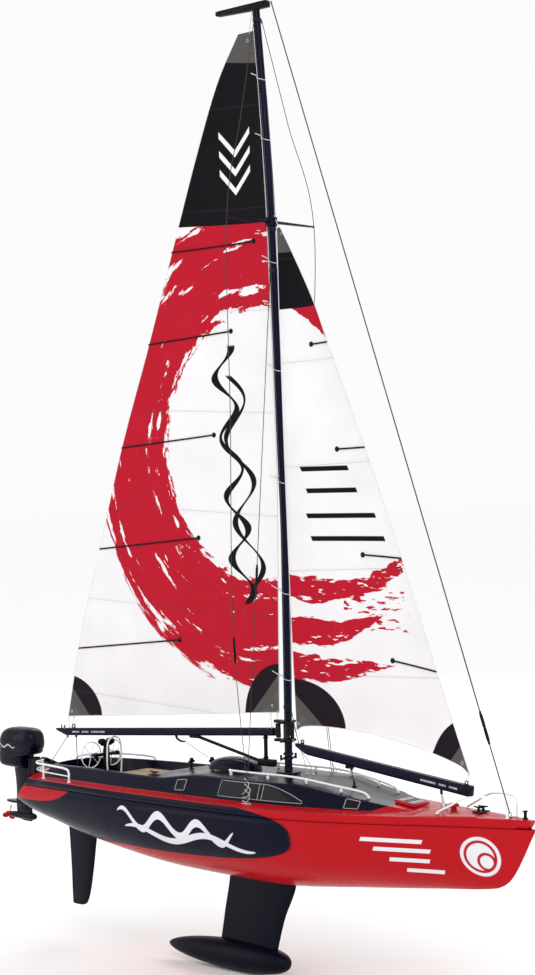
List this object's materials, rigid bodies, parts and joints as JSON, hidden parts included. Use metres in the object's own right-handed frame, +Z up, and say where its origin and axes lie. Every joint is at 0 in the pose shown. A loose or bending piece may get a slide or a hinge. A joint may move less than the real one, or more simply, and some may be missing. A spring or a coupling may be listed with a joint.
{
  "type": "rc sailboat",
  "caption": "Radio-controlled sloop with fin keel, jib and mainsail on swinging booms, coupled rudder gear, sail winch and tilting outboard motor.",
  "frame": {"origin": "on the hull's underside below the mast, where a cradle holds the hull", "axes": "+X towards the bow, +Y to port, +Z up the mast"},
  "size_m": [0.9645, 0.2166, 1.2685],
  "materials": {
    "red_gelcoat": "glossy moulded shell",
    "navy_gloss": "glossy moulding",
    "tinted_window": "polished, opaque tint",
    "teak": "oiled slats",
    "foil_navy": "gloss paint",
    "painted_lead": "gloss paint over a heavy casting",
    "stainless": "polished",
    "brass_tube": "drawn tube",
    "black_plastic": "satin moulded",
    "white_plastic": "gloss moulded",
    "battery_wrap": "shrink wrap",
    "mast_paint": "gloss anodised tube",
    "sailcloth": "crisp woven film",
    "rig_wire": "coated stranded wire",
    "sheet_line": "braided line",
    "prop_red": "gloss moulded"
  },
  "bodies": {
    "hull": {"hull_shell": "red_gelcoat", "deck_moulding": "navy_gloss", "window_starboard": "tinted_window", "window_port": "tinted_window", "cockpit_hatch": "teak", "companion_hood": "navy_gloss", "foredeck_hatch": "red_gelcoat", "keel_fin": "foil_navy", "keel_bulb": "painted_lead", "keel_bolt": "stainless", "rudder_tube": "brass_tube", "rudder_servo": "black_plastic", "winch_servo": "black_plastic", "receiver": "black_plastic", "battery_pack": "battery_wrap", "radio_tray": "black_plastic", "mast_step": "black_plastic", "mast": "mast_paint", "masthead_crane": "black_plastic", "spreader_bar": "mast_paint", "gooseneck_bracket": "black_plastic", "forestay": "rig_wire", "cap_shroud_starboard": "rig_wire", "cap_shroud_port": "rig_wire", "lower_shroud_starboard": "rig_wire", "lower_shroud_port": "rig_wire", "mainsheet": "sheet_line", "sheet_tail": "sheet_line", "jib_sheet": "sheet_line", "sheet_post_aft": "black_plastic", "sheet_post_fwd": "black_plastic", "outboard_bracket": "black_plastic", "helm_pedestal": "black_plastic", "helm_guard": "white_plastic", "handrail_starboard": "white_plastic", "handrail_port": "white_plastic", "pulpit_starboard": "white_plastic", "pulpit_port": "white_plastic", "pushpit_starboard": "white_plastic", "pushpit_port": "white_plastic", "bow_bollard": "black_plastic", "mooring_cleat": "black_plastic", "foredeck_vent": "red_gelcoat"},
    "main_rig": {"main_boom": "mast_paint", "boom_vang": "black_plastic", "mainsail": "sailcloth"},
    "jib_rig": {"jib_boom": "mast_paint", "jib_swivel": "stainless", "jib_sail": "sailcloth"},
    "rudder": {"rudder_blade": "foil_navy", "tiller_arm": "black_plastic"},
    "horn": {"servo_horn": "white_plastic"},
    "pushrod": {"rudder_pushrod": "stainless"},
    "winch": {"winch_drum": "black_plastic"},
    "motor_swivel": {"outboard_swivel": "black_plastic"},
    "motor": {"outboard_leg": "navy_gloss", "outboard_cowl": "navy_gloss"},
    "prop": {"propeller": "prop_red"},
    "wheel_starboard": {"helm_wheel_starboard": "white_plastic"},
    "wheel_port": {"helm_wheel_port": "white_plastic"}
  },
  "joints": [
    {"name": "main_swing", "type": "hinge", "parent": "hull", "child": "main_rig", "pos_m": [-0.017, 0, 0.19], "axis": [-0.0332, 0, 0.9994], "range_deg": [-60, 60], "deforming": ["mainsheet", "sheet_tail"]},
    {"name": "jib_swing", "type": "hinge", "parent": "hull", "child": "jib_rig", "pos_m": [0.256, 0, 0.125], "axis": [-0.3285, 0, 0.9445], "range_deg": [-50, 50], "deforming": ["jib_sheet"]},
    {"name": "rudder_turn", "type": "hinge", "parent": "hull", "child": "rudder", "pos_m": [-0.402, 0, 0.05], "axis": [0, 0, 1], "range_deg": [-35, 35]},
    {"name": "horn_turn", "type": "hinge", "parent": "hull", "child": "horn", "pos_m": [-0.281, 0, 0.064], "axis": [0, 0, 1], "range_deg": [-35, 35]},
    {"name": "pushrod_pivot", "type": "hinge", "parent": "horn", "child": "pushrod", "pos_m": [-0.281, -0.016, 0.0668], "axis": [0, 0, 1], "range_deg": [-35, 35]},
    {"name": "winch_turn", "type": "hinge", "parent": "hull", "child": "winch", "pos_m": [-0.155, 0, 0.074], "axis": [0, 0, 1], "range_deg": [0, 1080]},
    {"name": "motor_tilt", "type": "hinge", "parent": "hull", "child": "motor_swivel", "pos_m": [-0.505, 0, 0.1225], "axis": [0, 1, 0], "range_deg": [0, 40]},
    {"name": "motor_steer", "type": "hinge", "parent": "motor_swivel", "child": "motor", "pos_m": [-0.515, 0, 0.09], "axis": [0, 0, 1], "range_deg": [-30, 30]},
    {"name": "prop_spin", "type": "hinge", "parent": "motor", "child": "prop", "pos_m": [-0.5665, 0, 0.0362], "axis": [1, 0, 0], "continuous": true},
    {"name": "wheel_turn_starboard", "type": "hinge", "parent": "hull", "child": "wheel_starboard", "pos_m": [-0.36, -0.02, 0.1395], "axis": [1, 0, 0], "continuous": true},
    {"name": "wheel_turn_port", "type": "hinge", "parent": "hull", "child": "wheel_port", "pos_m": [-0.36, 0.02, 0.1395], "axis": [1, 0, 0], "continuous": true}
  ],
  "couplings": [
    {"joint": "horn_turn", "follows": "rudder_turn", "ratio": 1},
    {"joint": "pushrod_pivot", "follows": "rudder_turn", "ratio": -1}
  ]
}
